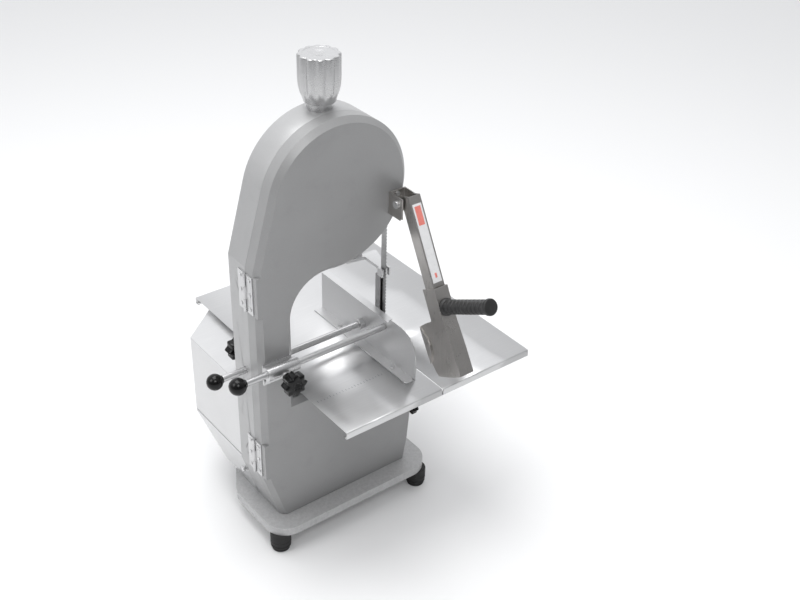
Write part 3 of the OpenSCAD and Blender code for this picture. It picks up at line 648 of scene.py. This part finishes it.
def build_blade():
    """Endless band over both wheels with teeth on the operator's edge."""
    upper = WHEEL.z
    lower = middle_mm("lower_wheel").z
    r = (BLADE_HIGH.x - BLADE_LOW.x) / 2 - BLADE_THICK / 2
    total = 2 * (upper - lower) + FULL_TURN * r
    tooth_pitch = 6.35
    teeth = round(total / tooth_pitch)
    tooth = ((0.0, 0.0), (0.10, 2.6), (0.55, 2.2))
    rings = []
    for i in range(teeth):
        for part, bite in tooth:
            place, out = band_place((i + part) / teeth * total, r, lower, upper)
            place.x += WHEEL.x
            front = BLADE_LOW.y + bite
            ring = []
            for side, y in ((1, front), (1, BLADE_HIGH.y), (-1, BLADE_HIGH.y), (-1, front)):
                ring.append(place + out * side * BLADE_THICK / 2 + Vector((0, y, 0)))
            rings.append(ring)
    add_piece("saw_band", *loft(rings, joined=True), "blade_steel", "frame", ["saw_blade"], 30)


build_blade()


# ---------------------------------------------------------------- pusher
PUSHER_TILT = math.radians(28)
PIVOT = next(j for j in frame["joints"] if j["name"] == "pusher_swing")["pos_m"]
GRIP_X = middle_mm("pusher_grip").x


def pusher_point(x, w, u):
    """A point w towards the operator and u down the arm from the pivot."""
    y = PIVOT[1] / MM - w * math.cos(PUSHER_TILT) - u * math.sin(PUSHER_TILT)
    z = PIVOT[2] / MM + w * math.sin(PUSHER_TILT) - u * math.cos(PUSHER_TILT)
    return Vector((x, y, z))


def build_grip():
    """Ribbed sleeve, thicker at both ends, square to the arm."""
    start_w, grip_u = 34, 183
    base = pusher_point(GRIP_X, start_w, grip_u)
    axis = pusher_point(GRIP_X, start_w + 1, grip_u) - base
    rib_pitch = 10.5
    profile = [(0, 13), (0.8, 15), (3.2, 15), (4, 13.6), (6, 12.1)]
    for i in range(9):
        along = 12 + i * rib_pitch
        profile += [(along, 12.5), (along + 6.5, 12.4), (along + 7.6, 11.6), (along + 8.8, 11.6)]
    profile += [(110, 12.3), (113.5, 13.4), (115, 14), (118.5, 14), (120.3, 13), (121, 11), (121, 3)]
    sleeve = turned(base, axis, profile, 56)
    add_piece("pusher_grip_sleeve", *sleeve, "grip_plastic", "pusher", ["pusher_grip"], 30)


def build_label_fields():
    """Two plain coloured fields on the pale label along the arm's front."""
    low, high = box_mm("arm_label")
    label_face = 29.3
    for name, start, end, side in (("label_field_top", 10, 42, 3), ("label_field_low", 124, 132, 7)):
        left, right = low.x + side, high.x - side
        outline = [(left, start), (right, start), (right, end), (left, end)]
        verts = [pusher_point(x, label_face + lift, u) for lift in (-0.1, 0.15) for x, u in outline]
        faces = [(0, 3, 2, 1), (4, 5, 6, 7), (0, 1, 5, 4), (1, 2, 6, 5), (2, 3, 7, 6), (3, 0, 4, 7)]
        field = add_piece(name, verts, faces, "label_vinyl", "pusher")
        field.data.materials[0] = MATERIALS["label_red"]


def build_skirt_bolt():
    """Domed bolt with a collar on the skirt's sloping left face, sunk 2 mm into it."""
    bolt_y, bolt_z = 43, 118
    skirt_top = UNDERCUT_Z + 2
    slope = (skirt_top - bolt_z) / (skirt_top - BASE_TOP)
    place = Vector((LEFT + UNDERCUT_W * slope + 2, bolt_y, bolt_z))
    profile = [(0, 6), (3, 6), (3.4, 5.5), (3.6, 3.5), (6, 3.5), (6.4, 5.2), (9, 5), (10.4, 3.8), (11, 1.2)]
    add_piece("skirt_bolt", *turned(place, (-1, 0, 0), profile, 40), "bright_steel", "frame", angle=30)


build_label_fields()
build_skirt_bolt()
build_grip()


# ---------------------------------------------------------------- CAD nodes that keep their shape
EDGE_MM = {
    "main_casing": 1.2, "base_plate": 2.2, "motor_cover": 1.2, "lower_skirt": 0.6, "fence_plate": 0.7,
    "guide_arm": 0.6, "guide_block": 1.0, "blade_guard": 0.4, "rod_clamp": 0.9, "pusher_arm": 0.8,
    "pusher_head": 0.7, "pusher_bracket": 0.6, "switch_box": 2.0, "start_button": 1.2, "stop_button": 1.2,
    "scrap_tray": 0.4, "table_rails": 0.5, "motor": 0.6, "cable_gland": 0.8, "pivot_bolt": 0.8,
    "frame_hinge_leaves": 0.3, "door_hinge_leaves": 0.3, "arm_label": 0.0,
}
SLOTS = {part["node"]: part["material_slot"] for part in frame["record"]["subparts"]}
for node_name, node_object in NODES.items():
    node_object.data.materials.clear()
    node_object.data.materials.append(MATERIALS[SLOTS[node_name]])
    finish_edges(node_object, EDGE_MM.get(node_name, 0.3), 3, weld=1e-5)


# ---------------------------------------------------------------- floor, light and camera
def build_floor():
    """Plain pale floor under the object."""
    half = 15
    mesh = bpy.data.meshes.new("floor")
    corners = [(-half, -half, 0), (half, -half, 0), (half, half, 0), (-half, half, 0)]
    mesh.from_pydata(corners, [], [(0, 1, 2, 3)])
    floor = bpy.data.objects.new("floor", mesh)
    bpy.context.scene.collection.objects.link(floor)
    material = bpy.data.materials.new("floor_paper")
    material.use_nodes = True
    shader = material.node_tree.nodes["Principled BSDF"]
    shader.inputs["Base Color"].default_value = (0.86, 0.86, 0.86, 1)
    shader.inputs["Roughness"].default_value = 0.8
    mesh.materials.append(material)


def build_studio():
    """Soft surroundings, brightest high behind the object and dimmest low in front of it."""
    world = bpy.data.worlds.new("studio")
    world.use_nodes = True
    bpy.context.scene.world = world
    tree = world.node_tree
    direction = tree.nodes.new("ShaderNodeTexCoord")
    towards_back = tree.nodes.new("ShaderNodeVectorMath")
    towards_back.operation = "DOT_PRODUCT"
    towards_back.inputs[1].default_value = (0.37, 0.79, 0.49)
    brightness = tree.nodes.new("ShaderNodeMapRange")
    brightness.inputs["From Min"].default_value = -0.5
    brightness.inputs["From Max"].default_value = 0.9
    brightness.inputs["To Min"].default_value = 0.22
    brightness.inputs["To Max"].default_value = 1.15
    background = tree.nodes["Background"]
    background.inputs["Color"].default_value = (0.97, 0.98, 1.0, 1)
    tree.links.new(direction.outputs["Generated"], towards_back.inputs[0])
    tree.links.new(towards_back.outputs["Value"], brightness.inputs["Value"])
    tree.links.new(brightness.outputs["Result"], background.inputs["Strength"])
    bpy.context.scene.view_settings.view_transform = "Standard"


def area_light(name, place, target, size, power):
    """Rectangular soft light facing its target; size in metres, power in watts."""
    light = bpy.data.lights.new(name, "AREA")
    light.shape = "RECTANGLE"
    light.size, light.size_y = size
    light.energy = power
    obj = bpy.data.objects.new(name, light)
    obj.location = place
    obj.rotation_euler = (Vector(target) - Vector(place)).to_track_quat("-Z", "Y").to_euler()
    bpy.context.scene.collection.objects.link(obj)


def build_camera():
    """Camera at the photograph's angle: yaw from +Y towards +X, pitch downwards, then a slight roll."""
    yaw, pitch, roll = math.radians(38.33), math.radians(33.12), math.radians(1.54)
    forward = Vector((math.sin(yaw) * math.cos(pitch), math.cos(yaw) * math.cos(pitch), -math.sin(pitch)))
    level = Vector((math.cos(yaw), -math.sin(yaw), 0))
    raised = level.cross(forward)
    right = level * math.cos(roll) + raised * math.sin(roll)
    up = raised * math.cos(roll) - level * math.sin(roll)
    camera = bpy.data.cameras.new("camera")
    camera.sensor_width = 36
    camera.lens = 52.35
    camera.clip_end = 50
    obj = bpy.data.objects.new("camera", camera)
    matrix = Matrix((right, up, -forward)).transposed().to_4x4()
    matrix.translation = Vector((-0.9729, -1.3960, 1.5497))
    obj.matrix_world = matrix
    bpy.context.scene.collection.objects.link(obj)
    bpy.context.scene.camera = obj


build_floor()
build_studio()
area_light("key", (-2.0, 0.3, 2.0), (0, 0, 0.7), (1.2, 1.2), 14)
area_light("top", (0.0, 0.4, 2.8), (0, 0, 0.3), (1.8, 1.8), 40)
area_light("front", (-0.7, -1.7, 2.3), (0, 0, 0.85), (1.0, 1.0), 15)
build_camera()
